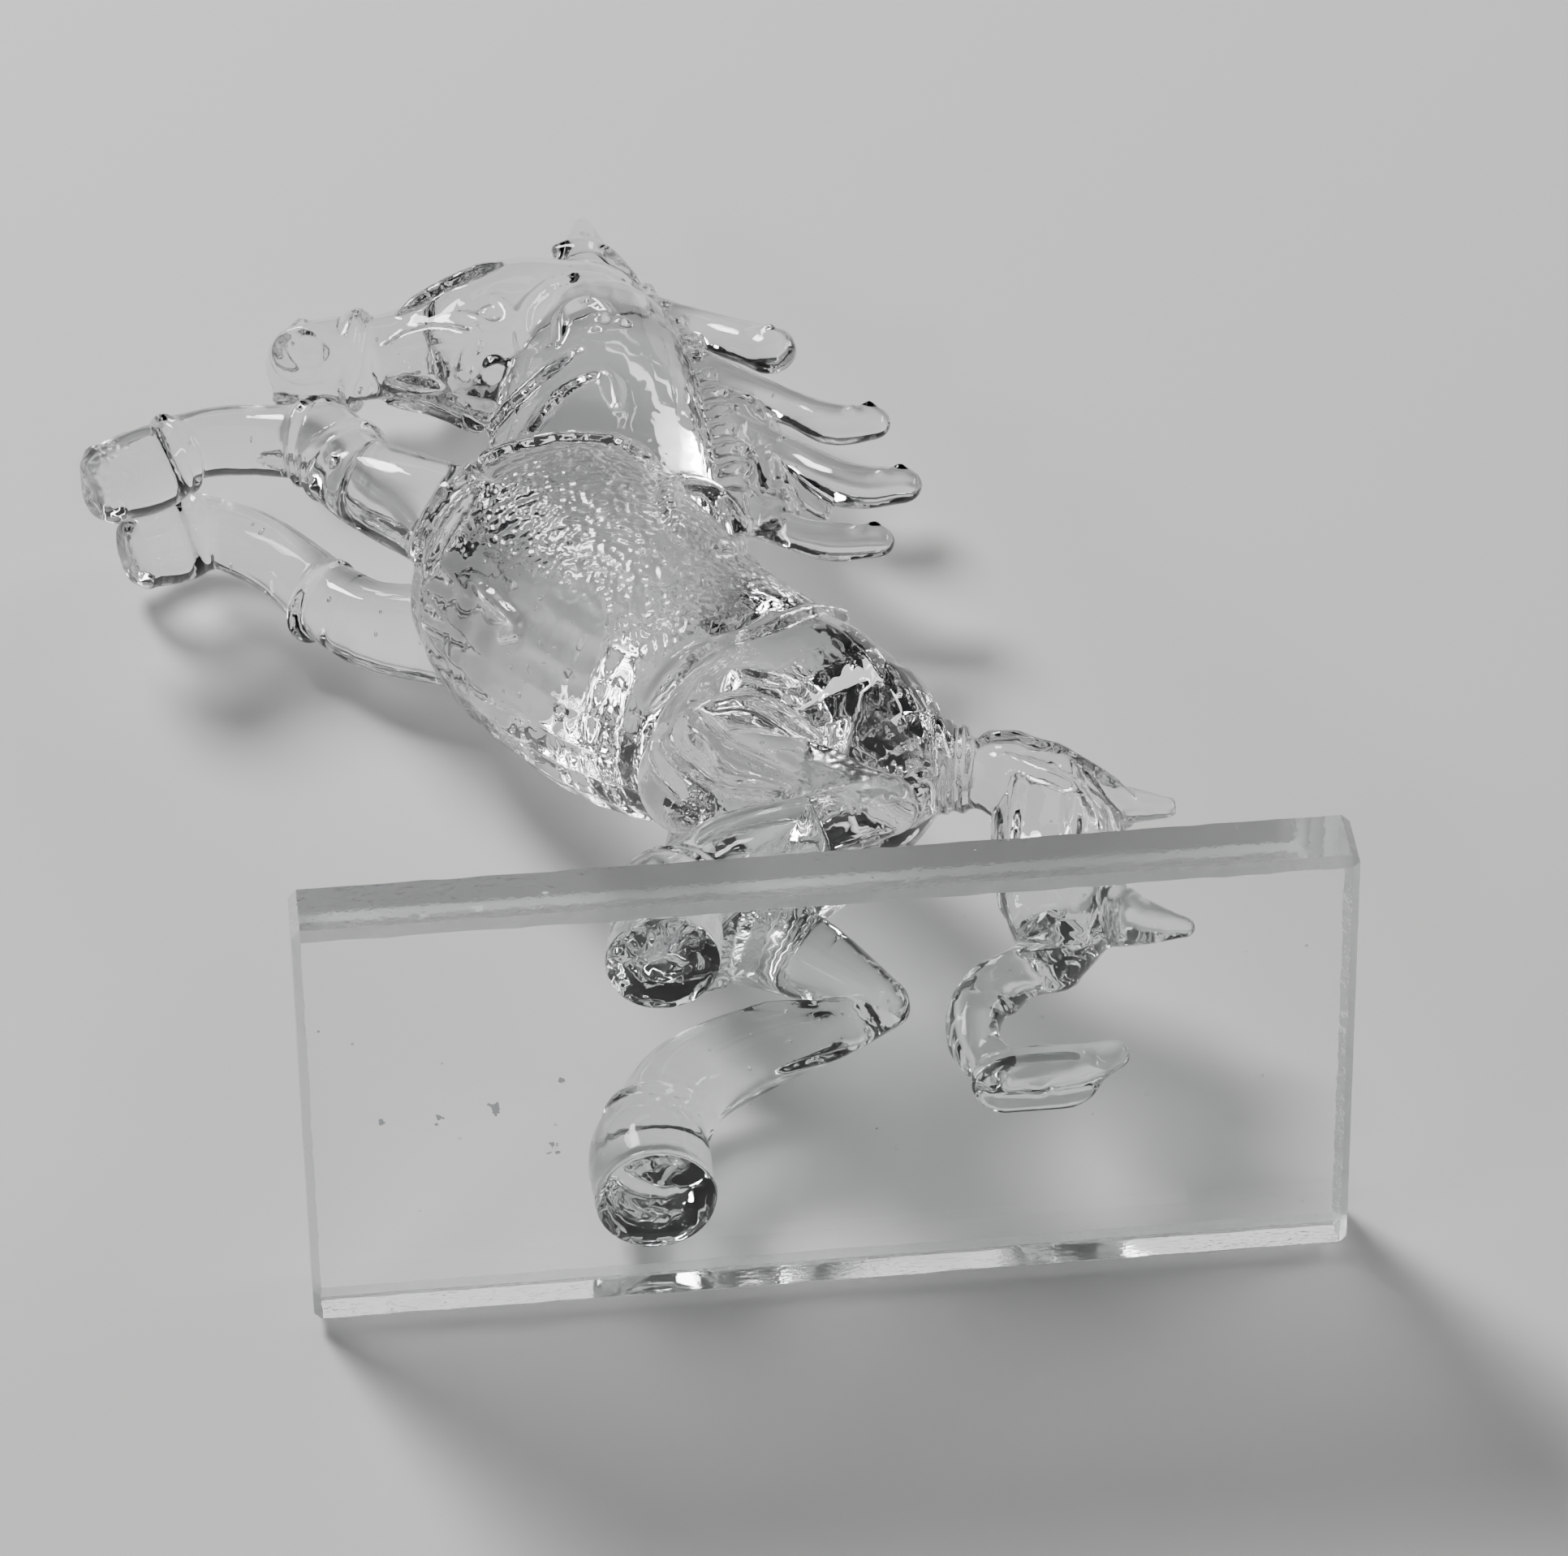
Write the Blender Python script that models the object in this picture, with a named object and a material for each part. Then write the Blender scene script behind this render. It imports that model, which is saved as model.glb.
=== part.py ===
"""Rearing horse of clear lampworked glass on an oblong glass slab.

Run with: blender --background --python part.py

The origin is the centre of the slab's underside, +Z is up and the horse faces -X, so that its
left side looks towards -Y. All lengths are metres.
"""

import math

import bmesh
import bpy
from mathutils import Matrix, Vector

# The slab, a piece of plate glass with ground edges.
SLAB_LENGTH = 0.100
SLAB_WIDTH = 0.047
SLAB_THICKNESS = 0.008
SLAB_CHAMFER = 0.0008

# The horse, from its soles to the tip of its taller ear.
HORSE_HEIGHT = 0.1436

# The film of clear glue between the horse's feet and the slab.
GLUE_GAP = 0.0003

# The strokes below are drawn in the millimetres of a horse this many of them tall.
DRAWN_HEIGHT = 143.6
DRAWN_MM = HORSE_HEIGHT / DRAWN_HEIGHT

# Each stroke is a drawn-out rod of hot glass: rows of x, y, z, radius along its middle, with
# z above the soles, and the share of that radius that it measures from side to side.
STROKES = {
    "trunk": (1.0, [(-18.1, 0, 76.0, 15.9), (-14.7, 0, 69.7, 15.9), (-10.8, 0, 63.1, 15.3),
                    (-6.8, 0, 58.5, 14.4), (-2.6, 0, 54.8, 13.2), (2.0, 0, 49.8, 12.3), (5.7, 0, 45.0, 12.0)]),
    "breast": (1.2, [(-22.0, 0, 75.0, 11.0), (-25.8, 0, 77.0, 8.6)]),
    "neck": (0.8, [(-16.0, 0, 82.0, 14.0), (-13.6, 0, 95.0, 12.6), (-12.2, 0, 108.0, 11.1),
                   (-12.0, 0, 120.0, 9.6)]),
    "head": (0.82, [(-13.0, 0, 126.4, 8.0), (-19.2, 0, 125.6, 9.2), (-25.3, 0, 123.2, 8.3),
                    (-30.0, 0, 123.0, 6.2), (-34.0, 0, 122.6, 5.2), (-37.0, 0, 122.2, 4.9)]),
    "jowl": (0.8, [(-17.4, 0, 121.4, 9.0), (-21.6, 0, 121.6, 9.0)]),
    "muzzle": (0.95, [(-39.0, 0, 122.2, 5.1), (-42.0, 0, 122.0, 4.9)]),
    "left_ear": (0.8, [(-11.5, -2.6, 131.0, 3.0), (-11.3, -2.2, 138.0, 2.2), (-11.1, -1.8, 142.8, 1.1)]),
    "right_ear": (0.8, [(-11.8, 2.6, 131.0, 3.0), (-12.6, 2.2, 138.0, 2.0), (-13.6, 1.8, 142.4, 0.9)]),
    "crest": (1.0, [(-10.0, 0, 134.0, 2.2), (-5.6, 0, 128.1, 2.3), (-2.9, 0, 119.0, 2.6),
                    (-1.2, 0, 109.4, 2.9), (-0.5, 0, 98.6, 2.9), (-0.3, 0, 88.1, 2.6)]),
    "mane_lock_1": (0.8, [(-6.0, 0, 126.0, 3.4), (0.5, 0, 123.2, 2.6), (4.6, -0.5, 119.8, 2.7),
                          (6.8, -0.8, 117.6, 3.0)]),
    "mane_lock_2": (0.8, [(-2.0, 0, 114.5, 4.0), (7.4, 0.3, 108.6, 2.2), (12.1, 0.6, 105.0, 2.6),
                          (16.3, 1.0, 105.3, 2.2)]),
    "mane_lock_3": (0.8, [(-1.0, 0, 103.5, 4.0), (7.1, -0.3, 97.3, 2.6), (12.4, -0.5, 91.8, 2.8),
                          (18.0, -0.6, 91.0, 2.2)]),
    "mane_twig": (1.0, [(3.5, 0, 97.0, 2.0), (7.0, 0.4, 92.2, 1.3), (9.6, 0.6, 88.6, 0.9)]),
    "mane_web": (0.7, [(0.5, 0, 112.0, 2.6), (3.4, 0, 103.0, 3.0), (4.2, 0, 94.0, 2.8), (4.6, 0, 87.5, 2.4)]),
    "mane_lock_4": (0.8, [(-2.0, 0, 92.0, 3.2), (4.6, 0.2, 85.9, 2.1), (9.4, 0.5, 83.4, 2.4),
                          (14.4, 0.8, 83.2, 2.0)]),
    "left_arm": (1.0, [(-24.0, -6.0, 74.0, 6.5), (-29.4, -7.5, 80.0, 5.8), (-34.6, -8.0, 84.2, 5.2),
                       (-38.8, -7.6, 89.2, 4.6), (-41.4, -7.2, 96.4, 4.3)]),
    "left_cannon": (1.0, [(-41.5, -7.0, 96.6, 4.3), (-46.5, -6.5, 98.4, 3.8), (-52.0, -6.0, 99.8, 3.7),
                          (-57.4, -5.8, 99.2, 3.5)]),
    "right_arm": (1.0, [(-22.0, 6.0, 78.0, 7.0), (-31.0, 7.6, 81.6, 5.4), (-38.0, 8.0, 84.6, 4.7),
                        (-43.2, 7.6, 90.0, 4.1)]),
    "right_cannon": (1.0, [(-43.0, 7.5, 89.8, 4.1), (-46.4, 7.0, 94.8, 3.8), (-50.5, 6.5, 99.0, 3.8),
                           (-55.5, 6.0, 102.0, 3.5)]),
    "left_thigh": (1.0, [(2.6, -3.4, 46.4, 11.4), (-4.0, -7.2, 38.4, 8.8), (-9.0, -9.0, 31.0, 5.8)]),
    "left_gaskin": (1.0, [(-8.0, -8.8, 31.5, 5.6), (0.5, -9.6, 27.0, 4.9), (9.0, -10.2, 23.0, 3.0)]),
    "left_hind_cannon": (1.0, [(9.2, -10.4, 22.6, 2.8), (1.0, -11.4, 18.4, 3.4), (-7.0, -12.6, 14.6, 3.6),
                               (-12.6, -13.2, 8.6, 4.0)]),
    "right_thigh": (1.0, [(2.6, 3.4, 46.4, 11.4), (-3.5, 6.6, 39.2, 8.6), (-8.0, 8.2, 33.0, 5.8)]),
    "right_gaskin": (1.0, [(-7.0, 8.2, 33.5, 5.6), (1.0, 9.6, 28.8, 4.3), (8.0, 11.0, 22.4, 2.6)]),
    "right_hind_cannon": (1.0, [(8.6, 11.0, 21.6, 2.0), (3.0, 11.9, 20.2, 2.9), (-4.5, 13.0, 19.4, 4.2),
                                (-12.0, 14.2, 16.0, 4.8), (-15.5, 14.8, 10.5, 4.8)]),
    "dock": (0.9, [(12.0, 0, 44.0, 5.0), (19.0, 0, 41.2, 3.8), (23.1, 0, 39.8, 4.4)]),
    "tail": (0.8, [(22.0, 0, 40.2, 4.2), (26.2, 0.2, 35.4, 5.6), (26.0, 0.8, 26.0, 6.2), (25.3, 1.4, 20.6, 5.4),
                   (23.6, 1.8, 15.9, 3.5), (19.8, 2.0, 13.8, 2.9), (15.9, 2.6, 10.4, 2.9),
                   (14.9, 3.3, 5.4, 2.6), (17.0, 4.0, 1.8, 2.6)]),
    "tail_upper_tip": (0.8, [(27.0, 0, 35.6, 4.2), (32.4, -0.3, 33.8, 2.5), (37.6, -0.6, 32.2, 1.3)]),
    "tail_lower_tip": (0.8, [(27.0, 1.0, 23.0, 5.0), (32.2, 1.2, 20.2, 3.0), (37.0, 1.5, 18.9, 1.2)]),
    "tail_end": (0.9, [(18.0, 4.1, 1.4, 2.8), (23.5, 4.0, 1.4, 2.6), (28.0, 3.4, 2.4, 1.6)]),
}

# Strokes with a flat end: hooves, and the foot of the tail, which the slab's face cuts.
HOOVES = {
    "left_fore_hoof": [(-55.6, -5.7, 99.8, 3.2), (-59.2, -5.6, 96.6, 4.5), (-62.4, -5.6, 94.8, 4.5),
                       (-65.0, -5.6, 93.6, 4.0), (-66.4, -5.6, 93.0, 3.0)],
    "right_fore_hoof": [(-53.8, 6.0, 102.4, 3.2), (-56.8, 6.1, 100.2, 4.5), (-59.8, 6.0, 98.8, 4.4),
                        (-62.0, 6.0, 97.9, 3.9), (-63.1, 6.0, 97.5, 3.1)],
    "left_hind_hoof": [(-12.6, -13.2, 9.4, 4.0), (-14.4, -13.3, 5.6, 5.4), (-15.4, -13.4, -1.5, 5.2)],
    "right_hind_hoof": [(-15.5, 14.8, 11.5, 4.6), (-16.6, 15.2, 6.4, 6.0), (-16.4, 15.4, -1.5, 5.5)],
    "tail_foot": [(20.4, 4.0, 3.0, 2.9), (20.6, 4.2, 1.0, 3.3), (20.8, 4.3, -1.5, 3.4)],
}

# The nose band is a ring of glass trailed round the muzzle: its middle and radii.
NOSE_BAND_MIDDLE = (-37.4, 0, 122.2)
NOSE_BAND_RADIUS = 4.5
NOSE_BAND_THICKNESS = 1.25
NOSE_BAND_LEAN = math.radians(14)

TUBE_SIDES = 16
TUBE_STEP = 1.2
CAP_RINGS = 3

# The strokes are fused on a grid of this size, as shares of the horse's height.
FUSE_VOXEL = HORSE_HEIGHT * 0.0061
FUSE_SMOOTHING = 4
FACE_SHARE = 0.14


def clear_scene():
    for thing in list(bpy.data.objects):
        bpy.data.objects.remove(thing)


def glass_material(name, tint):
    material = bpy.data.materials.new(name)
    material.use_nodes = True
    shader = material.node_tree.nodes["Principled BSDF"]
    shader.inputs["Base Color"].default_value = (*tint, 1.0)
    shader.inputs["Roughness"].default_value = 0.0
    shader.inputs["Metallic"].default_value = 0.0
    shader.inputs["IOR"].default_value = 1.5
    shader.inputs["Transmission Weight"].default_value = 1.0
    return material


def add_object(name, bm, material):
    bmesh.ops.recalc_face_normals(bm, faces=bm.faces)
    mesh = bpy.data.meshes.new(name)
    bm.to_mesh(mesh)
    bm.free()
    made = bpy.data.objects.new(name, mesh)
    made.data.materials.append(material)
    bpy.context.scene.collection.objects.link(made)
    return made


def catmull_rom(rows, step):
    """Points on a smooth curve through the rows, about a step apart, each with its radius."""
    knots = [Vector(row) for row in rows]
    knots = [2 * knots[0] - knots[1], *knots, 2 * knots[-1] - knots[-2]]
    points = []
    for a, b, c, d in zip(knots, knots[1:], knots[2:], knots[3:]):
        count = max(2, round((c - b).length / step))
        for i in range(count):
            t = i / count
            points.append(0.5 * (2 * b + (c - a) * t + (2 * a - 5 * b + 4 * c - d) * t * t
                                 + (3 * b - a - 3 * c + d) * t ** 3))
    points.append(knots[-2])
    return points


def rounded_ends(points):
    """The curve with both ends carried on by half balls, as shrinking rings."""
    def cap(end, inner):
        away = (end - inner).xyz.normalized()
        radius = end.w
        rings = []
        for i in range(1, CAP_RINGS + 1):
            turn = math.pi / 2 * i / (CAP_RINGS + 0.5)
            middle = end.xyz + away * radius * math.sin(turn)
            rings.append(Vector((*middle, radius * math.cos(turn))))
        return rings
    head = cap(points[0], points[1])
    tail = cap(points[-1], points[-2])
    return head[::-1] + points + tail


def add_tube(bm, points, side_share):
    """A closed tube of rings round the points. Its sideways (Y) reach is side_share of the radius."""
    rings = []
    across = Vector((0, 1, 0))
    for i, point in enumerate(points):
        along = (points[min(i + 1, len(points) - 1)] - points[max(i - 1, 0)]).xyz.normalized()
        across = (across - along * across.dot(along)).normalized()
        upright = along.cross(across)
        ring = []
        for k in range(TUBE_SIDES):
            turn = 2 * math.pi * k / TUBE_SIDES
            offset = across * math.cos(turn) + upright * math.sin(turn)
            offset.y *= side_share
            ring.append(bm.verts.new((point.xyz + offset * point.w) * DRAWN_MM))
        rings.append(ring)
    for low, high in zip(rings, rings[1:]):
        for k in range(TUBE_SIDES):
            bm.faces.new((low[k], low[k - 1], high[k - 1], high[k]))
    bm.faces.new(rings[0][::-1])
    bm.faces.new(rings[-1])


def add_ring(bm, middle, radius, thickness, lean):
    """A torus standing across the X axis, leaned about Y."""
    steps = 2 * TUBE_SIDES
    place = Matrix.Translation(middle) @ Matrix.Rotation(lean, 4, "Y")
    rings = []
    for i in range(steps):
        round_x = 2 * math.pi * i / steps
        outward = Vector((0, math.cos(round_x), math.sin(round_x)))
        ring = []
        for k in range(TUBE_SIDES):
            turn = 2 * math.pi * k / TUBE_SIDES
            point = outward * (radius + thickness * math.cos(turn))
            point.x = thickness * math.sin(turn)
            ring.append(bm.verts.new((place @ point) * DRAWN_MM))
        rings.append(ring)
    for i in range(steps):
        low, high = rings[i - 1], rings[i]
        for k in range(TUBE_SIDES):
            bm.faces.new((low[k], low[k - 1], high[k - 1], high[k]))


def build_slab():
    bm = bmesh.new()
    size = Matrix.Diagonal((SLAB_LENGTH, SLAB_WIDTH, SLAB_THICKNESS, 1))
    bmesh.ops.create_cube(bm, size=1, matrix=Matrix.Translation((0, 0, SLAB_THICKNESS / 2)) @ size)
    slab = add_object("base_slab", bm, glass_material("slab_glass", (0.93, 0.97, 0.96)))
    chamfer = slab.modifiers.new("ground_edges", "BEVEL")
    chamfer.width = SLAB_CHAMFER
    chamfer.segments = 1
    chamfer.limit_method = "NONE"
    return slab


def build_sole_cutter():
    """Everything below the slab's top face and its film of glue, which the soles are ground flat to."""
    depth = SLAB_THICKNESS
    bm = bmesh.new()
    size = Matrix.Diagonal((2 * SLAB_LENGTH, 2 * SLAB_LENGTH, depth, 1))
    middle = SLAB_THICKNESS + GLUE_GAP - depth / 2
    bmesh.ops.create_cube(bm, size=1, matrix=Matrix.Translation((0, 0, middle)) @ size)
    cutter = add_object("sole_cutter", bm, glass_material("cutter", (1, 0, 0)))
    cutter.hide_render = True
    cutter.display_type = "WIRE"
    return cutter


def build_horse(cutter):
    bm = bmesh.new()
    for side_share, rows in STROKES.values():
        add_tube(bm, rounded_ends(catmull_rom(rows, TUBE_STEP)), side_share)
    for rows in HOOVES.values():
        add_tube(bm, catmull_rom(rows, TUBE_STEP), 1.0)
    add_ring(bm, NOSE_BAND_MIDDLE, NOSE_BAND_RADIUS, NOSE_BAND_THICKNESS, NOSE_BAND_LEAN)
    horse = add_object("horse", bm, glass_material("horse_glass", (0.96, 0.97, 0.97)))
    horse.location.z = SLAB_THICKNESS + GLUE_GAP

    fuse = horse.modifiers.new("fused_in_the_flame", "REMESH")
    fuse.mode = "VOXEL"
    fuse.voxel_size = FUSE_VOXEL
    fuse.use_smooth_shade = True
    soften = horse.modifiers.new("softened_joints", "SMOOTH")
    soften.factor = 0.5
    soften.iterations = FUSE_SMOOTHING
    thin = horse.modifiers.new("fewer_faces", "DECIMATE")
    thin.ratio = FACE_SHARE
    ground = horse.modifiers.new("soles_ground_flat", "BOOLEAN")
    ground.operation = "DIFFERENCE"
    ground.object = cutter
    return horse


def main():
    clear_scene()
    build_slab()
    build_horse(build_sole_cutter())


main()
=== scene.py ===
"""Looks of the clear glass horse on its slab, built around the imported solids.

The frame is the part's own: +Z up, the horse faces -X, its left side towards -Y, metres.
"""

import math
import random

import bmesh
import bpy
import numpy as np
from mathutils import Matrix, Vector, noise
from mathutils.bvhtree import BVHTree


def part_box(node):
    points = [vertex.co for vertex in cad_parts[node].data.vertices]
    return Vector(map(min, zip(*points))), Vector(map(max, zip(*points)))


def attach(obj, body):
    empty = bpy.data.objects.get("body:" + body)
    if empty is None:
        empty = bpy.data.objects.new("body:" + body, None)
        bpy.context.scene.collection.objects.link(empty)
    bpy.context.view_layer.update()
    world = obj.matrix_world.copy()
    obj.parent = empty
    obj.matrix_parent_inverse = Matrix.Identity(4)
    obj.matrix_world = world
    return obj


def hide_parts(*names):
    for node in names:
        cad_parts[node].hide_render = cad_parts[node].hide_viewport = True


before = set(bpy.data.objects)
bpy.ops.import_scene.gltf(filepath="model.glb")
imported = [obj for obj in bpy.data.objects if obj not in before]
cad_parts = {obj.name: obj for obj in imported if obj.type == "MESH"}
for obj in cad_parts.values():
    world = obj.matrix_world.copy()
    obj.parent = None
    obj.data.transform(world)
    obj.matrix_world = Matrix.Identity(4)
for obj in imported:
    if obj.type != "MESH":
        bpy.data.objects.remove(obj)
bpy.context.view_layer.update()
SLAB_LOW, SLAB_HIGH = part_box("base_slab")
HORSE_LOW, HORSE_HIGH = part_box("horse")

# The strokes are drawn in the millimetres of a horse this many of them tall, from its soles up.
DRAWN_HEIGHT = 143.6
MM = (HORSE_HIGH.z - HORSE_LOW.z) / DRAWN_HEIGHT
SOLE_Z = HORSE_LOW.z

# The photograph's camera: its place in metres, its turn, its lens and the sensor's width in mm.
CAMERA_PLACE = (-0.0598, -0.4851, -0.5992)
CAMERA_RIGHT = (0.9947, 0.0124, -0.1018)
CAMERA_UP = (0.0706, -0.8025, 0.5925)
CAMERA_LENS = 187.57
SENSOR_WIDTH = 36
CAMERA_RANGE = (0.01, 20)

# Each stroke is a drawn-out rod of hot glass: rows of x, y, z, radius along its middle, and the
# share of that radius that it measures from side to side.
BODY_STROKES = {
    "trunk": (1.0, [(-18.1, 0, 76.0, 15.9), (-14.7, 0, 69.7, 15.9), (-10.8, 0, 63.1, 15.3),
                    (-6.8, 0, 58.5, 14.4), (-2.6, 0, 54.8, 13.2), (2.0, 0, 49.8, 12.3),
                    (5.7, 0, 45.0, 12.0)]),
    "breast": (1.2, [(-22.0, 0, 75.0, 11.0), (-25.8, 0, 77.0, 8.6)]),
    "neck": (0.8, [(-16.0, 0, 82.0, 14.0), (-13.6, 0, 95.0, 12.6), (-12.2, 0, 108.0, 11.1),
                   (-12.0, 0, 120.0, 9.6)]),
}
HEAD_STROKES = {
    "head": (0.82, [(-13.0, 0, 126.4, 8.0), (-19.2, 0, 125.6, 9.2), (-25.3, 0, 123.2, 8.3),
                    (-30.0, 0, 123.0, 6.2), (-34.0, 0, 122.6, 5.2), (-37.0, 0, 122.2, 4.9)]),
    "jowl": (0.8, [(-17.4, 0, 121.4, 9.0), (-21.6, 0, 121.6, 9.0)]),
    "muzzle": (0.95, [(-39.0, 0, 122.2, 5.1), (-42.0, 0, 122.0, 4.9)]),
    "left_ear": (0.8, [(-11.5, -2.6, 131.0, 3.0), (-11.3, -2.2, 138.0, 2.2), (-11.1, -1.8, 142.8, 1.1)]),
    "left_ear_lobe": (0.8, [(-7.8, -2.6, 130.0, 1.8), (-10.4, -2.8, 134.6, 2.3), (-12.6, -2.9, 136.2, 1.9),
                            (-14.0, -2.9, 136.4, 1.2)]),
    "right_ear": (0.8, [(-11.8, 2.6, 131.0, 3.0), (-12.6, 2.2, 138.0, 2.0), (-13.6, 1.8, 142.4, 0.9)]),
}
MANE_STROKES = {
    "crest": (1.0, [(-10.0, 0, 134.0, 2.2), (-5.6, 0, 128.1, 2.3), (-2.9, 0, 119.0, 2.6),
                    (-1.2, 0, 109.4, 2.9), (-0.5, 0, 98.6, 2.9), (-0.3, 0, 88.1, 2.6)]),
    "mane_lock_1": (0.8, [(-6.0, 0, 126.0, 3.4), (0.5, 0, 123.2, 2.6), (4.6, -0.5, 119.8, 2.7),
                          (6.8, -0.8, 117.6, 3.0)]),
    "mane_lock_2": (0.8, [(-2.0, 0, 114.5, 4.0), (7.4, 0.3, 108.6, 2.2), (12.1, 0.6, 105.0, 2.6),
                          (16.3, 1.0, 105.3, 2.2)]),
    "mane_lock_3": (0.8, [(-1.0, 0, 103.5, 4.0), (7.1, -0.3, 97.3, 2.6), (12.4, -0.5, 91.8, 2.8),
                          (18.0, -0.6, 91.0, 2.2)]),
    "mane_twig": (1.0, [(3.5, 0, 97.0, 2.0), (7.0, 0.4, 92.2, 1.3), (9.6, 0.6, 88.6, 0.9)]),
    "mane_web": (0.7, [(0.5, 0, 112.0, 2.6), (3.4, 0, 103.0, 3.0), (4.2, 0, 94.0, 2.8),
                       (4.6, 0, 87.5, 2.4)]),
    "mane_lock_4": (0.8, [(-2.0, 0, 92.0, 3.2), (4.6, 0.2, 85.9, 2.1), (9.4, 0.5, 83.4, 2.4),
                          (14.4, 0.8, 83.2, 2.0)]),
}
LEG_STROKES = {
    "left_arm": (1.0, [(-24.0, -6.0, 74.0, 6.5), (-29.4, -7.5, 80.0, 5.8), (-34.6, -8.0, 84.2, 5.2),
                       (-38.8, -7.6, 89.2, 4.6), (-41.4, -7.2, 96.4, 4.3)]),
    "left_cannon": (1.0, [(-41.5, -7.0, 96.6, 4.3), (-46.5, -6.5, 98.4, 3.8), (-52.0, -6.0, 99.8, 3.7),
                          (-57.4, -5.8, 99.2, 3.5)]),
    "right_arm": (1.0, [(-22.0, 6.0, 78.0, 7.0), (-31.0, 7.6, 81.6, 5.4), (-38.0, 8.0, 84.6, 4.7),
                        (-43.2, 7.6, 90.0, 4.1)]),
    "right_cannon": (1.0, [(-43.0, 7.5, 89.8, 4.1), (-46.4, 7.0, 94.8, 3.8), (-50.5, 6.5, 99.0, 3.8),
                           (-55.5, 6.0, 102.0, 3.5)]),
    "left_thigh": (1.0, [(2.6, -3.4, 46.4, 11.4), (-4.0, -7.2, 38.4, 8.8), (-9.0, -9.0, 31.0, 5.8)]),
    "left_gaskin": (1.0, [(-8.0, -8.8, 31.5, 5.6), (0.5, -9.6, 27.0, 4.9), (9.0, -10.2, 23.0, 3.0)]),
    "left_hind_cannon": (1.0, [(9.2, -10.4, 22.6, 2.8), (1.0, -11.4, 18.4, 3.4), (-7.0, -12.6, 14.6, 3.6),
                               (-12.6, -13.2, 8.6, 4.0)]),
    "right_thigh": (1.0, [(2.6, 3.4, 46.4, 11.4), (-3.5, 6.6, 39.2, 8.6), (-8.0, 8.2, 33.0, 5.8)]),
    "right_gaskin": (1.0, [(-7.0, 8.2, 33.5, 5.6), (1.0, 9.6, 28.8, 4.3), (8.0, 11.0, 22.4, 2.6)]),
    "right_hind_cannon": (1.0, [(8.6, 11.0, 21.6, 2.0), (3.0, 11.9, 20.2, 2.9), (-4.5, 13.0, 19.4, 4.2),
                                (-12.0, 14.2, 16.0, 4.8), (-15.5, 14.8, 10.5, 4.8)]),
}
TAIL_STROKES = {
    "dock": (0.9, [(12.0, 0, 44.0, 5.0), (19.0, 0, 41.2, 3.8), (23.1, 0, 39.8, 4.4)]),
    "tail": (0.8, [(22.0, 0, 40.2, 4.2), (26.2, 0.2, 35.4, 5.6), (26.0, 0.8, 26.0, 6.2),
                   (25.3, 1.4, 20.6, 5.4), (23.6, 1.8, 15.9, 3.5), (19.8, 2.0, 13.8, 2.9),
                   (15.9, 2.6, 10.4, 2.9), (14.9, 3.3, 5.4, 2.6), (17.0, 4.0, 1.8, 2.6)]),
    "tail_upper_tip": (0.8, [(27.0, 0, 35.6, 4.2), (32.4, -0.3, 33.8, 2.5), (37.6, -0.6, 32.2, 1.3)]),
    "tail_lower_tip": (0.8, [(27.0, 1.0, 23.0, 5.0), (32.2, 1.2, 20.2, 3.0), (37.0, 1.5, 18.9, 1.2)]),
    "tail_end": (0.9, [(18.0, 4.1, 1.4, 2.8), (23.5, 4.0, 1.4, 2.6), (28.0, 3.4, 2.4, 1.6)]),
}
# Rods whose ends stay flat, in the same rows: the hooves and the tail's foot.
FLAT_ENDED = {
    "left_fore_hoof": [(-55.6, -5.7, 99.8, 3.2), (-59.2, -5.6, 96.6, 4.5), (-62.4, -5.6, 94.8, 4.5),
                       (-65.0, -5.6, 93.6, 4.0), (-66.4, -5.6, 93.0, 3.0)],
    "right_fore_hoof": [(-53.8, 6.0, 102.4, 3.2), (-56.8, 6.1, 100.2, 4.5), (-59.8, 6.0, 98.8, 4.4),
                        (-62.0, 6.0, 97.9, 3.9), (-63.1, 6.0, 97.5, 3.1)],
    "left_hind_hoof": [(-12.6, -13.2, 9.4, 4.0), (-14.4, -13.3, 5.6, 5.4), (-15.4, -13.4, -1.5, 5.2)],
    "right_hind_hoof": [(-15.5, 14.8, 11.5, 4.6), (-16.6, 15.2, 6.4, 6.0), (-16.4, 15.4, -1.5, 5.5)],
    "tail_foot": [(20.4, 4.0, 3.0, 2.5), (20.6, 4.2, 1.0, 2.6), (20.8, 4.3, -1.5, 2.6)],
}
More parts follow.
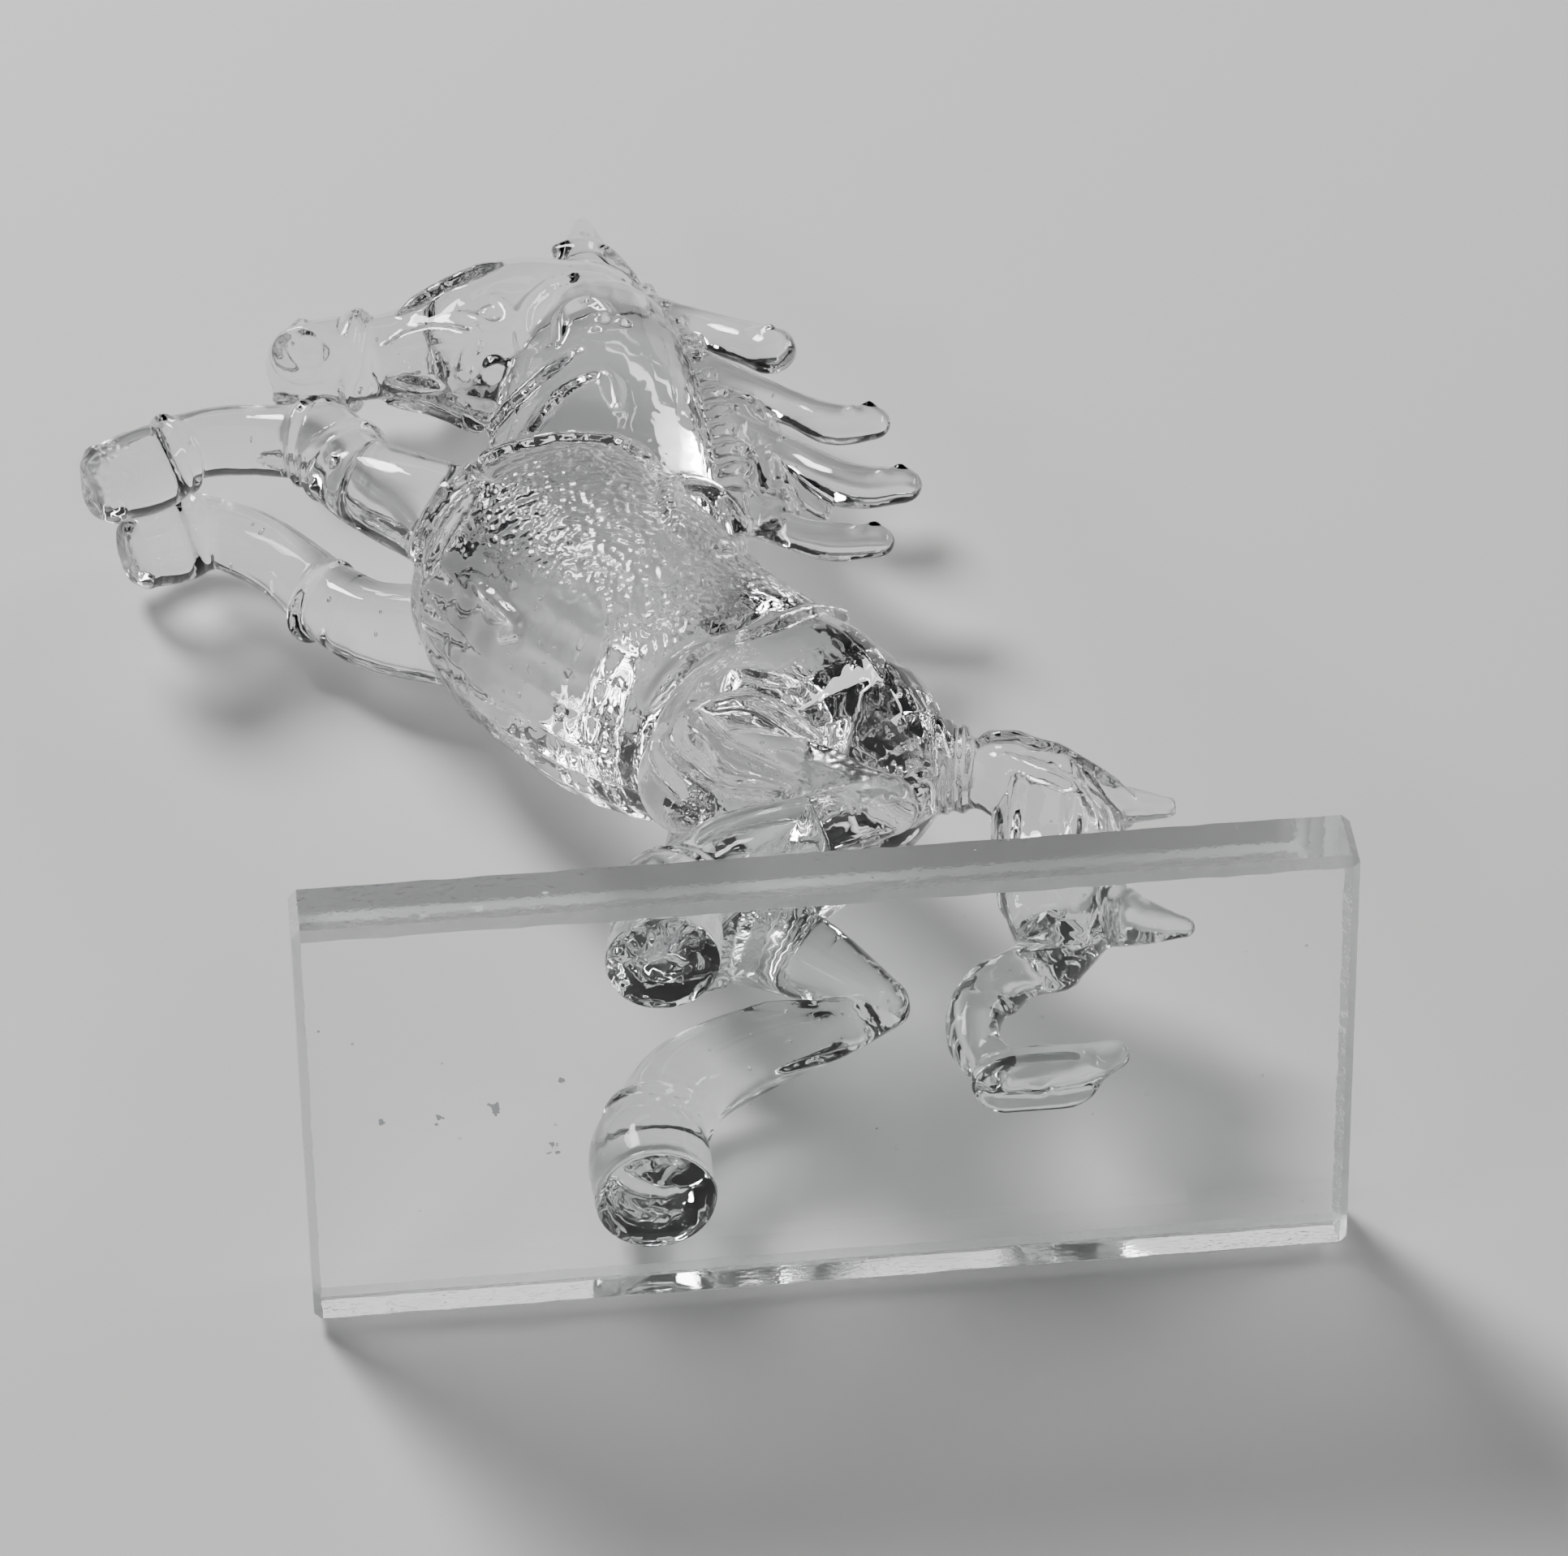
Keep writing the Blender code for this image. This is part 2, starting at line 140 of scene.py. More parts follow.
# Thin threads of glass and creases on the horse's left side: radius, and rows of x, y, z, which are
# carried along the photograph's lines of sight onto the skin. MIRRORED names those that are also on
# the right side.
SIDE_THREADS = {
    "neck_joint": (0.9, [(-29, -10, 83), (-24, -10, 88), (-16, -10, 90), (-10, -10, 87), (-8, -10, 80)]),
    "barrel_seam": (1.0, [(9, -10, 54), (4, -14, 50), (-2, -14, 47), (-8, -12, 47), (-12, -6, 48)]),
    "thigh_crease": (0.8, [(-9, -15, 34), (-6, -14, 29), (1, -13, 24)]),
    "thigh_brow": (0.8, [(-9, -15, 34), (-3, -15, 35), (3, -11, 34)]),
    "stifle_arc": (0.85, [(-10, -14, 34), (-11, -14, 30), (-7, -12, 26), (-1, -12, 24)]),
    "flank_arc": (0.9, [(-12, -14, 33), (-13, -13, 29), (-11, -11, 26)]),
    "croup_swirl": (0.75, [(-6, -15, 36), (-4, -15, 40), (1, -15, 38)]),
    "croup_curl": (0.5, [(-3, -14, 27), (0, -14, 27), (1, -14, 25)]),
    "shoulder_fold": (0.6, [(-29, -13, 82), (-26, -13, 78), (-23, -14, 76)]),
    "chest_wedge": (0.7, [(-28, -9, 67), (-24, -8, 60), (-26, -7, 60)]),
    "brow": (1.0, [(-32, -5, 123), (-26, -5, 128), (-21, -5, 131)]),
    "cheek_top": (1.1, [(-34, -6, 115), (-29, -6, 117), (-25, -6, 115), (-26, -6, 111)]),
    "cheek_low": (1.0, [(-34, -6, 109), (-29, -6, 107)]),
    "jaw": (0.9, [(-35, -6, 107), (-30, -6, 105), (-27, -6, 103)]),
    "eye": (0.9, [(-26, -7, 119), (-23, -7, 116), (-21, -7, 117), (-22, -7, 122)]),
    "poll_arc": (0.85, [(-20, -7, 112), (-19, -7, 119), (-15, -7, 124), (-10, -7, 124)]),
    "poll_inner_arc": (0.7, [(-16, -7, 112), (-15, -7, 118), (-12, -7, 120), (-10, -7, 117)]),
    "throat_fold": (1.0, [(-25, -7, 95), (-21, -7, 102), (-15, -7, 110)]),
    "throat_lobe": (1.0, [(-22, -8, 91), (-17, -8, 101), (-12, -8, 104), (-11, -8, 98)]),
    "tail_edge": (0.9, [(19, -3, 41), (24, -4, 41), (30, -3, 36), (34, -2, 32)]),
    "tail_second": (0.7, [(22, -4, 38), (28, -4, 32), (30, -3, 27)]),
    "dock_seam": (0.8, [(16, -5, 45), (16, -3, 39)]),
    "mouth": (0.5, [(-44, -4, 114), (-40, -5, 112)]),
}
MIRRORED = {"neck_joint", "shoulder_fold", "brow", "cheek_top", "jaw", "eye", "poll_arc", "throat_fold",
            "thigh_brow", "stifle_arc", "tail_edge", "mouth"}
# Oval loops of thread: thickness, middle, half width, half height and lean. One is the raised edge of
# the lip and nostril on each side of the muzzle, the other lies where the crest's root is pressed onto
# the withers, on the left alone.
MUZZLE_RIM = (0.95, (-42.5, -5, 116.5), 3, 4, 0)
WITHERS_LOOP = (1.1, (-4, -8, 77), 3, 6.5, math.radians(-18))
LOOP_POINTS = 8

# Beads and droplets on the head and the left arm: x, y, z, radius, carried along the same lines of sight.
BEADS = [
    (-26, -6, 110, 1.0), (-23, -6, 110, 1.3), (-11, -6, 118, 0.9), (-9, -6, 117, 0.9), (-12, -6, 116, 0.7),
    (-14, -6, 112, 0.8), (-20, -7, 114, 0.6), (-17, -7, 112, 0.6), (-23, -7, 119, 0.9), (-42, -5, 116, 0.9),
    (-44, -5, 118, 0.6), (-41, -5, 112, 0.8), (-37, -6, 108, 1.1), (-43, -9, 86, 0.9), (-41, -10, 89, 0.8),
]
# Each mane lock ends in two droplets: how far they lie from its tip along X and Z, and their radius.
MANE_LOCKS = ("mane_lock_1", "mane_lock_2", "mane_lock_3", "mane_lock_4")
TIP_DROPLETS = [(0, 1, 0.8), (-2, 0, 0.7)]

# The soles: middle x, y, half length of the straight sides, radius.
SOLES = [(-15.3, -13.4, 0.0, 5.4), (-16.4, 15.3, 0.0, 5.9), (20.3, 4.2, 2.6, 3.6)]

# Strands along a stroke: from and to as shares of its length, how many, their turns round it,
# their radius, and how deep they are sunk as a share of the stroke's radius.
STRANDS = [
    ("tail", 0.0, 0.5, 6, 0.08, 0.9, 0.06),
    ("tail", 0.44, 0.88, 4, 0.8, 0.8, 0.12),
    ("tail_upper_tip", 0.0, 0.9, 5, 0.1, 0.6, 0.12),
    ("tail_lower_tip", 0.0, 0.9, 5, 0.1, 0.6, 0.12),
    ("crest", 0.0, 1.0, 3, 4.5, 1.1, 0.1),
    *((lock, 0.0, 1.0, 2, 0.0, 0.9, 0.15) for lock in MANE_LOCKS),
    ("mane_web", 0.0, 1.0, 7, 0.15, 0.6, 0.08),
    ("right_hind_cannon", 0.05, 0.65, 3, 0.1, 0.7, 0.06),
    ("left_gaskin", 0.2, 1.0, 7, 0.1, 0.6, 0.04),
]

# Rings of glass where one rod was joined to the next: middle, direction, radius, thickness.
RINGS = [
    ((-44.0, -6.8, 97.2), (-1.0, 0.1, 0.35), 4.1, 0.6),
    ((-39.9, -7.5, 92.2), (-0.35, 0.05, 0.94), 4.6, 0.6),
    ((-28.0, -7.2, 78.0), (-0.7, -0.2, 0.7), 6.2, 0.8),
    ((-43.0, 7.6, 89.0), (-0.6, 0.0, 0.8), 4.3, 0.6),
    ((-57.2, -5.7, 98.4), (-0.83, 0.0, -0.55), 4.0, 0.6),
    ((-55.5, 6.0, 101.2), (-0.9, 0.0, -0.45), 4.0, 0.6),
    ((-64.6, -5.6, 93.8), (-0.86, 0.0, -0.5), 3.7, 0.7),
    ((-61.7, 6.0, 98.1), (-0.93, 0.0, -0.36), 3.6, 0.7),
    ((-15.4, 14.8, 11.2), (-0.1, 0.05, -1.0), 4.9, 0.7),
    ((-13.0, -13.2, 8.8), (-0.3, 0.0, -1.0), 4.2, 0.6),
    ((-15.2, -13.4, 0.6), (0.0, 0.0, -1.0), 4.9, 0.7),
    ((-16.5, 15.3, 0.6), (0.0, 0.0, -1.0), 5.3, 0.7),
    ((15.4, 0.0, 43.2), (1.0, 0.0, -0.15), 4.8, 0.55),
    ((17.0, 0.0, 42.4), (1.0, 0.0, -0.15), 4.4, 0.55),
    ((18.6, 0.0, 41.7), (1.0, 0.0, -0.15), 4.0, 0.55),
    ((-42.6, 0.0, 122.1), (1.0, 0.0, 0.1), 4.3, 0.8),
]
# The oblong pad that the tail stands on: middle, half length of its straight sides, radius, thickness.
TAIL_PAD = ((20.3, 4.2, 0.6), 2.6, 3.0, 0.8)

# The barrel between the neck joint and the seam is hammered: its middle line and radius. Each finish
# rises and falls between the values given, across its skin, along its line, and with the lean, which is
# 1 on the back and -1 on the belly.
BARREL_START = (-18.0, 0.0, 76.0)
BARREL_END = (5.7, 0.0, 45.0)
BARREL_RADIUS = 15.0
BARREL_SKIN = (BARREL_RADIUS - 3.6, BARREL_RADIUS - 2.4, BARREL_RADIUS + 1.2, BARREL_RADIUS + 2.4)
HAMMERED_ALONG = (-9, -4, 24, 28)
HAMMERED_FROM_BELLY = (-0.78, -0.6)
HAMMERED_TO_BACK = (0.72, 0.9)
RIBS_ALONG = (-4, 0, 26, 30)
RIBS_TO_BELLY = (0.7, 0.85)
SATIN_ALONG = (-4, 0, 30, 33)
SATIN_TO_BACK = (0.7, 0.92)
DIMPLE_SIZE = 1.1
DIMPLE_DEPTH = 0.13
DIMPLE_SPREAD = 1.35
DIMPLE_LEVEL = 0.6
LEAST_HAMMERING = 0.01
RIGHT_SIDE_SHARE = 0.4
RIB_PITCH = 4.4
RIB_DEPTH = 0.12
WOBBLE = 0.06
WOBBLE_SIZE = 7.0

# Air bubbles sealed in the glass: stroke, how many, and the least and most radius.
BUBBLES = [
    ("trunk", 46, 0.12, 0.32), ("neck", 8, 0.12, 0.25), ("head", 8, 0.12, 0.3),
    ("left_thigh", 16, 0.12, 0.35), ("right_thigh", 12, 0.12, 0.3),
    ("left_arm", 8, 0.12, 0.3), ("right_arm", 8, 0.12, 0.3), ("tail", 10, 0.12, 0.3),
    ("right_hind_cannon", 14, 0.1, 0.2), ("left_cannon", 5, 0.12, 0.25), ("right_cannon", 6, 0.12, 0.25),
    ("mane_lock_2", 3, 0.1, 0.2), ("mane_lock_3", 4, 0.1, 0.2), ("mane_lock_4", 3, 0.1, 0.2),
]
# How far from a stroke's middle line its bubbles lie, as shares of its radius, and how far above the
# soles, as a multiple of the largest bubble.
BUBBLE_REACH = 0.72
BUBBLE_SPREAD_X = 0.8
BUBBLE_SPREAD_Z = 0.6
BUBBLE_TWIST = 1.1
BUBBLE_SOLE_GAP = 3
BUBBLE_SEED = 7

# Frosted places: middle, reach and strength.
FROSTED = [
    ((-64.6, -9.0, 91.6), 4.4, 1.0),
    ((-63.1, 6.0, 97.5), 3.6, 0.7),
    ((4.5, -13.2, 23.0), 5.5, 0.6),
    ((-3.0, 0.0, 103.0), 3.5, 0.4),
    ((-2.0, 0.0, 93.0), 3.5, 0.4),
]
FROST_EDGE = 0.75
HAMMERED_SATIN = 0.4
# Glue shows on the left hind sole, up to this height, and hardly elsewhere.
GLUE_TOP = (0.3, 0.4)
GLUE_SIDE = -5
GLUE_ELSEWHERE = 0.03

# The ring trailed round the muzzle.
NOSE_BAND_MIDDLE = (-37.4, 0, 122.2)
NOSE_BAND_RADIUS = 4.5
NOSE_BAND_THICKNESS = 1.25
NOSE_BAND_LEAN = math.radians(14)

# Tubes and balls of glass, and how they are fused.
TUBE_SIDES = 24
TUBE_STEP = 0.8
CAP_RINGS = 6
BALL_ROUNDNESS = 2
FUSE_VOXEL = 0.38
FUSE_SOFTNESS = 0.5
FUSE_SMOOTHING = 3
FACE_LIMIT = 185000
# Threads and strands start at a share of their thickness, the taper, and gain one part in so many of
# it at each step. A sink below zero lifts a thread's middle above the skin.
THREAD_SIDES = 10
THREAD_SINK = -0.3
THREAD_TAPER = 0.5
THREAD_STEPS = 5
THREAD_REACH = 14
THREAD_GAP = 2.5
SHORTEST_RUN = 5
STRAND_TAPER = 0.25
STRAND_STEPS = 9
STRAND_FULL_RADIUS = 3.2
PAD_STEPS = 40
SOLE_RIM = 0.8
SOLE_DISH = 0.08
DISH_EDGE = 0.3
NEXT_TO_NOTHING = 1e-6

# The glass: noise scales are per metre, depths are in metres.
GLASS_IOR = 1.5
HORSE_TINT = (0.88, 0.895, 0.895)
SLAB_TINT = (0.95, 0.97, 0.965)
SATIN_ROUGHNESS = 0.34
DRAW_LINES = 0.03
SMEARED = (0.6, 0.8)
HORSE_SMEAR_SCALE = 90.0
HORSE_SMEAR_DETAIL = 1.0
HORSE_SMEAR_ROUGHNESS = 0.06
GRAIN_SCALE = 1300.0
GRAIN_DEPTH = 0.0003
SWIRL_SCALE = 190.0
SWIRL_DISTORTION = 2.5
SWIRL_DEPTH = 0.0006
SLAB_SMEAR_ROUGHNESS = 0.08
PATCH_SCALE = 50.0
DUSTY = (0.45, 0.6)
SPECK_SCALE = 230.0
SPECK_REACH = (0.02, 0.045)
CRUMB_SCALE = 1400.0
CRUMB_DEPTH = 0.0001
GROUND_ROUGHNESS = 0.5
GROUND_MILKINESS = 0.45
# Flakes of dust stuck under the slab: x, y and reach in millimetres, how thick they are at the middle
# and at the border, and the thickness from which they show.
DUST_FLAKES = [
    (-37.2, -0.5, 1.6), (-42.6, -0.6, 1.2), (-31.8, -1.5, 1.8), (-25.6, -4.3, 1.3), (-26.6, 3.9, 1.6),
]
FLAKE_THICKNESS = (0.62, 0.36)
FLAKE_RAGGEDNESS = 0.5
FLAKE_LEVEL = 0.56

# The slab's ground chamfers, in millimetres, and how ground its sides look.
CHAMFER = 0.8
CHAMFER_UNEVENNESS = 0.09
CHAMFER_CUTS = 48
CHAMFER_SEED = 3
SIDE_GRIND = 0.12
# Edges longer than this are cut up, and a corner this near to a face or to a chamfer's border is on
# it, in metres.
LONG_EDGE = 0.004
ON_FACE = 1e-6
ON_BORDER = 1e-5
# The largest part of a face's normal is above the first where the face is no chamfer, and its upward
# part is below the second on the sides.
FLAT_FACE = 0.99
SIDE_FACE = 0.5

FLOOR_TONE = (0.62, 0.62, 0.61)
FLOOR_ROUGHNESS = 0.7
FLOOR_GAP = 0.0001
TABLE_GAP = 0.0002
STAGE_REACH = 3.0
TABLE_LEAN = math.radians(6.5)
WORLD_TONE = (0.93, 0.96, 1.0)
WORLD_DARK = 0.01
WORLD_PALE = 0.4
# Where the surroundings turn from dark to pale towards +Y, and from pale to dark upwards.
WORLD_TURN = (-0.35, 0.1)
WORLD_CEILING = (0.12, 0.45)
LIGHT_AIM = (-0.01, 0, 0.07)
# The even soft light over the whole stage: where it comes from, its strength and breadth.
KEY_FROM = (-0.5, -0.9, 0.8)
KEY_STRENGTH = 2.4
KEY_BREADTH = math.radians(20)
# Softboxes: name, place, breadth and height in metres, and watts.
SOFTBOXES = [
    ("near", (-0.3, -0.55, 0.5), (0.2, 0.2), 4.5),
    ("fill", (1.0, -0.6, 0.3), (0.12, 0.6), 4),
    ("low", (-0.9, -0.5, -0.5), (0.12, 0.5), 3),
    ("front", (0.1, -0.75, 0.93), (0.7, 0.1), 0.3),
]


def catmull_rom(rows, step):
    """Points on a smooth curve through the rows, about a step apart, each with its radius."""
    knots = [Vector(row) for row in rows]
    knots = [2 * knots[0] - knots[1], *knots, 2 * knots[-1] - knots[-2]]
    points = []
    for a, b, c, d in zip(knots, knots[1:], knots[2:], knots[3:]):
        count = max(2, round((c - b).length / step))
        for i in range(count):
            t = i / count
            points.append(0.5 * (2 * b + (c - a) * t + (2 * a - 5 * b + 4 * c - d) * t * t
                                 + (3 * b - a - 3 * c + d) * t ** 3))
    points.append(knots[-2])
    return points


def rounded_ends(points):
    """The curve with both ends carried on by half balls, as shrinking rings."""
    def cap(end, inner):
        away = (end - inner).xyz.normalized()
        radius = end.w
        rings = []
        for i in range(1, CAP_RINGS + 1):
            turn = math.pi / 2 * i / (CAP_RINGS + 0.5)
            middle = end.xyz + away * radius * math.sin(turn)
            rings.append(Vector((*middle, radius * math.cos(turn))))
        return rings
    head = cap(points[0], points[1])
    tail = cap(points[-1], points[-2])
    return head[::-1] + points + tail


def skin_rings(bm, rings, closed):
    """Joins rings of points into a tube, and closes its ends or its round."""
    made = [[bm.verts.new(point) for point in ring] for ring in rings]
    sides = len(made[0])
    pairs = list(zip(made, made[1:]))
    if closed:
        pairs.append((made[-1], made[0]))
    for low, high in pairs:
        for k in range(sides):
            bm.faces.new((low[k], low[k - 1], high[k - 1], high[k]))
    if not closed:
        bm.faces.new(made[0][::-1])
        bm.faces.new(made[-1])


def framed(points, first, last):
    """Each point from first to last with two directions square to the curve, which turn as it turns."""
    across = Vector((0, 1, 0))
    frames = []
    for i in range(first, last + 1):
        along = (points[min(i + 1, len(points) - 1)] - points[max(i - 1, 0)]).xyz.normalized()
        across = (across - along * across.dot(along)).normalized()
        frames.append((points[i], across.copy(), along.cross(across)))
    return frames


def add_tube(bm, points, side_share, sides=TUBE_SIDES):
    rings = []
    for point, across, upright in framed(points, 0, len(points) - 1):
        ring = []
        for k in range(sides):
            turn = 2 * math.pi * k / sides
            offset = across * math.cos(turn) + upright * math.sin(turn)
            offset.y *= side_share
            ring.append(point.xyz + offset * point.w)
        rings.append(ring)
    skin_rings(bm, rings, closed=False)


def add_ring(bm, place, radius, thickness, steps=48, sides=12):
    """A torus round the X axis of the place."""
    rings = []
    for i in range(steps):
        round_x = 2 * math.pi * i / steps
        outward = Vector((0, math.cos(round_x), math.sin(round_x)))
        ring = []
        for k in range(sides):
            turn = 2 * math.pi * k / sides
            point = outward * (radius + thickness * math.cos(turn))
            point.x = thickness * math.sin(turn)
            ring.append(place @ point)
        rings.append(ring)
    skin_rings(bm, rings, closed=True)


def new_object(name, bm, material):
    mesh = bpy.data.meshes.new(name)
    bm.to_mesh(mesh)
    bm.free()
    made = bpy.data.objects.new(name, mesh)
    made.data.materials.append(material)
    bpy.context.scene.collection.objects.link(made)
    return made


def apply_modifiers(made):
    """Gives the object the mesh that its modifiers make of it."""
    made.data = bpy.data.meshes.new_from_object(made.evaluated_get(bpy.context.evaluated_depsgraph_get()))
    made.modifiers.clear()


def new_glass(name, tint):
    material = bpy.data.materials.new(name)
    material.use_nodes = True
    shader = material.node_tree.nodes["Principled BSDF"]
    shader.inputs["Base Color"].default_value = (*tint, 1.0)
    shader.inputs["IOR"].default_value = GLASS_IOR
    shader.inputs["Transmission Weight"].default_value = 1.0
    return material, shader


def node(tree, kind, values=(), **settings):
    made = tree.nodes.new(kind)
    for key, value in settings.items():
        setattr(made, key, value)
    for key, value in dict(values).items():
        made.inputs[key].default_value = value
    return made


def math_node(tree, operation, first, second):
    """A sum, product or the like of two values, each a number or another node's output."""
    made = tree.nodes.new("ShaderNodeMath")
    made.operation = operation
    for socket, value in zip(made.inputs, (first, second)):
        if isinstance(value, (int, float)):
            socket.default_value = value
        else:
            tree.links.new(value, socket)
    return made.outputs[0]


def noise_value(tree, place, scale, detail=2.0, distortion=0.0):
    made = node(tree, "ShaderNodeTexNoise", {"Scale": scale, "Detail": detail, "Distortion": distortion})
    tree.links.new(place, made.inputs["Vector"])
    return made.outputs["Fac"]


def between(tree, value, low, high, to_low=0.0, to_high=1.0):
    """The value carried from the range low..high to to_low..to_high, and held there."""
    made = node(tree, "ShaderNodeMapRange", {"From Min": low, "From Max": high, "To Min": to_low,
                                             "To Max": to_high})
    tree.links.new(value, made.inputs["Value"])
    return made.outputs["Result"]


def bumps(tree, shader, heights):
    """Bump nodes one after another: height, strength and depth in metres of each."""
    normal = None
    for height, strength, depth in heights:
        made = node(tree, "ShaderNodeBump", {"Distance": depth})
        tree.links.new(height, made.inputs["Height"])
        tree.links.new(strength, made.inputs["Strength"])
        if normal:
            tree.links.new(normal, made.inputs["Normal"])
        normal = made.outputs["Normal"]
    tree.links.new(normal, shader.inputs["Normal"])


def attribute(tree, name):
    return node(tree, "ShaderNodeAttribute", attribute_name=name).outputs["Fac"]


def horse_glass():
    """Flame-polished glass: satin where the back was pressed, frosted at the cut ends, faint smears."""
    material, shader = new_glass("horse_glass", HORSE_TINT)
    tree = material.node_tree
    place = tree.nodes.new("ShaderNodeTexCoord").outputs["Object"]
    satin = attribute(tree, "satin")
    smudges = noise_value(tree, place, HORSE_SMEAR_SCALE, HORSE_SMEAR_DETAIL)
    smears = between(tree, smudges, *SMEARED, 0.0, HORSE_SMEAR_ROUGHNESS)
    satin_rough = math_node(tree, "MULTIPLY", satin, SATIN_ROUGHNESS)
    tree.links.new(math_node(tree, "ADD", satin_rough, smears), shader.inputs["Roughness"])
    grain = noise_value(tree, place, GRAIN_SCALE, 0.0)
    grained = math_node(tree, "MAXIMUM", satin, attribute(tree, "hammered"))
    swirls = noise_value(tree, place, SWIRL_SCALE, 0.0, SWIRL_DISTORTION)
    swirled = math_node(tree, "MAXIMUM", attribute(tree, "glue"), DRAW_LINES)
    bumps(tree, shader, [(grain, grained, GRAIN_DEPTH), (swirls, swirled, SWIRL_DEPTH)])
    return material


def slab_glass():
    """Polished plate glass with ground chamfers, dust specks and a few smears."""
    material, shader = new_glass("slab_glass", SLAB_TINT)
    tree = material.node_tree
    place = tree.nodes.new("ShaderNodeTexCoord").outputs["Object"]
    ground = attribute(tree, "ground")
    specks = node(tree, "ShaderNodeTexVoronoi", {"Scale": SPECK_SCALE})
    tree.links.new(place, specks.inputs["Vector"])
    speck = between(tree, specks.outputs["Distance"], *SPECK_REACH, 1.0, 0.0)
    patches = noise_value(tree, place, PATCH_SCALE)
    dust = math_node(tree, "MULTIPLY", speck, between(tree, patches, *DUSTY))
    crumbs = noise_value(tree, place, CRUMB_SCALE)
    for x, y, reach in DUST_FLAKES:
        middle = node(tree, "ShaderNodeVectorMath", operation="DISTANCE")
        tree.links.new(place, middle.inputs[0])
        middle.inputs[1].default_value = (x / 1000, y / 1000, 0)
        near = between(tree, middle.outputs["Value"], 0.0, reach / 1000, *FLAKE_THICKNESS)
        flake = math_node(tree, "MULTIPLY", near, math_node(tree, "ADD", crumbs, FLAKE_RAGGEDNESS))
        dust = math_node(tree, "MAXIMUM", dust, math_node(tree, "GREATER_THAN", flake, FLAKE_LEVEL))
    milky = math_node(tree, "MULTIPLY", ground, GROUND_MILKINESS)
    clear = math_node(tree, "SUBTRACT", 1.0, math_node(tree, "MAXIMUM", milky, dust))
    tree.links.new(clear, shader.inputs["Transmission Weight"])
    smears = between(tree, patches, *SMEARED, 0.0, SLAB_SMEAR_ROUGHNESS)
    ground_rough = math_node(tree, "MULTIPLY", ground, GROUND_ROUGHNESS)
    tree.links.new(math_node(tree, "ADD", ground_rough, smears), shader.inputs["Roughness"])
    bumps(tree, shader, [(crumbs, ground, CRUMB_DEPTH)])
    return material


def all_strokes():
    strokes = {}
    for group in (BODY_STROKES, HEAD_STROKES, MANE_STROKES, LEG_STROKES, TAIL_STROKES):
        strokes.update(group)
    return strokes


def packed_skin():
    """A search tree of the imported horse's faces, in drawn millimetres."""
    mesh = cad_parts["horse"].data
    corners = [(vertex.co - Vector((0, 0, SOLE_Z))) / MM for vertex in mesh.vertices]
    return BVHTree.FromPolygons(corners, [tuple(face.vertices) for face in mesh.polygons])


def carried_to_skin(skin, point):
    """The first place on the skin along the photograph's line of sight through the point."""
    eye = (Vector(CAMERA_PLACE) - Vector((0, 0, SOLE_Z))) / MM
    place, normal, _, _ = skin.ray_cast(eye, point - eye)
    if place is None or (place - point).length > THREAD_REACH:
        place, normal, _, _ = skin.find_nearest(point, THREAD_GAP)
    return place, normal


def unbroken_runs(laid):
    """Cuts a thread where it leaves the skin or would leap from one limb to another."""
    runs = [[]]
    for point in laid:
        if point is None or (runs[-1] and (point - runs[-1][-1]).xyz.length > THREAD_GAP):
            runs.append([])
        if point is not None:
            runs[-1].append(point)
    return [run for run in runs if len(run) >= SHORTEST_RUN]


def taper(i, count, start, steps):
    """The share of its thickness that a thread has at step i, thinner towards both ends."""
    return min(1.0, start + i / steps, start + (count - 1 - i) / steps)


def lay_thread(bm, skin, radius, rows, closed=False, mirrored=False):
    """A thread of glass laid on the skin through the rows and partly melted into it."""
    if closed:
        rows = rows[-1:] + rows + rows[:2]
    points = catmull_rom(rows, TUBE_STEP)
    left, right = [], []
    for i, point in enumerate(points):
        share = 1.0 if closed else taper(i, len(points), THREAD_TAPER, THREAD_STEPS)
        place, normal = carried_to_skin(skin, point)
        if place is None:
            left.append(None)
            continue
        laid = place - normal * THREAD_SINK * radius
        left.append(Vector((*laid, radius * share)))
        place, normal, _, _ = skin.find_nearest(Vector((laid.x, -laid.y, laid.z)), THREAD_GAP)
        if place is not None:
            right.append(Vector((*(place - normal * THREAD_SINK * radius), radius * share)))
    for run in unbroken_runs(left) + (unbroken_runs(right) if mirrored else []):
        add_tube(bm, rounded_ends(run), 1.0, sides=THREAD_SIDES)


def oval_rows(middle, half_width, half_height, lean):
    """Points round a leaning oval that faces along Y."""
    rows = []
    for i in range(LOOP_POINTS):
        turn = 2 * math.pi * i / LOOP_POINTS
        across, up = half_width * math.cos(turn), half_height * math.sin(turn)
        x = across * math.cos(lean) + up * math.sin(lean)
        z = up * math.cos(lean) - across * math.sin(lean)
        rows.append((middle[0] + x, middle[1], middle[2] + z))
    return rows


def tip_droplets():
    """The droplets at the tips of the mane locks, on their left side."""
    droplets = []
    for name in MANE_LOCKS:
        side_share, rows = MANE_STROKES[name]
        x, y, z, radius = rows[-1]
        for along, up, size in TIP_DROPLETS:
            droplets.append((x + along, y - radius * side_share, z + up, size))
    return droplets


def press_soles(places):
    """The soles pressed flat, and dished within their rims."""
    pressed = places[:, 2] < 0
    places[pressed, 2] = 0
    for x, y, reach, radius in SOLES:
        beside = np.maximum(np.abs(places[:, 0] - x) - reach, 0)
        across = np.hypot(beside, places[:, 1] - y)
        dish = SOLE_DISH * (1 - smooth_step(radius - SOLE_RIM - DISH_EDGE, radius - SOLE_RIM, across))
        places[pressed, 2] = np.maximum(places[pressed, 2], dish[pressed])
    return places


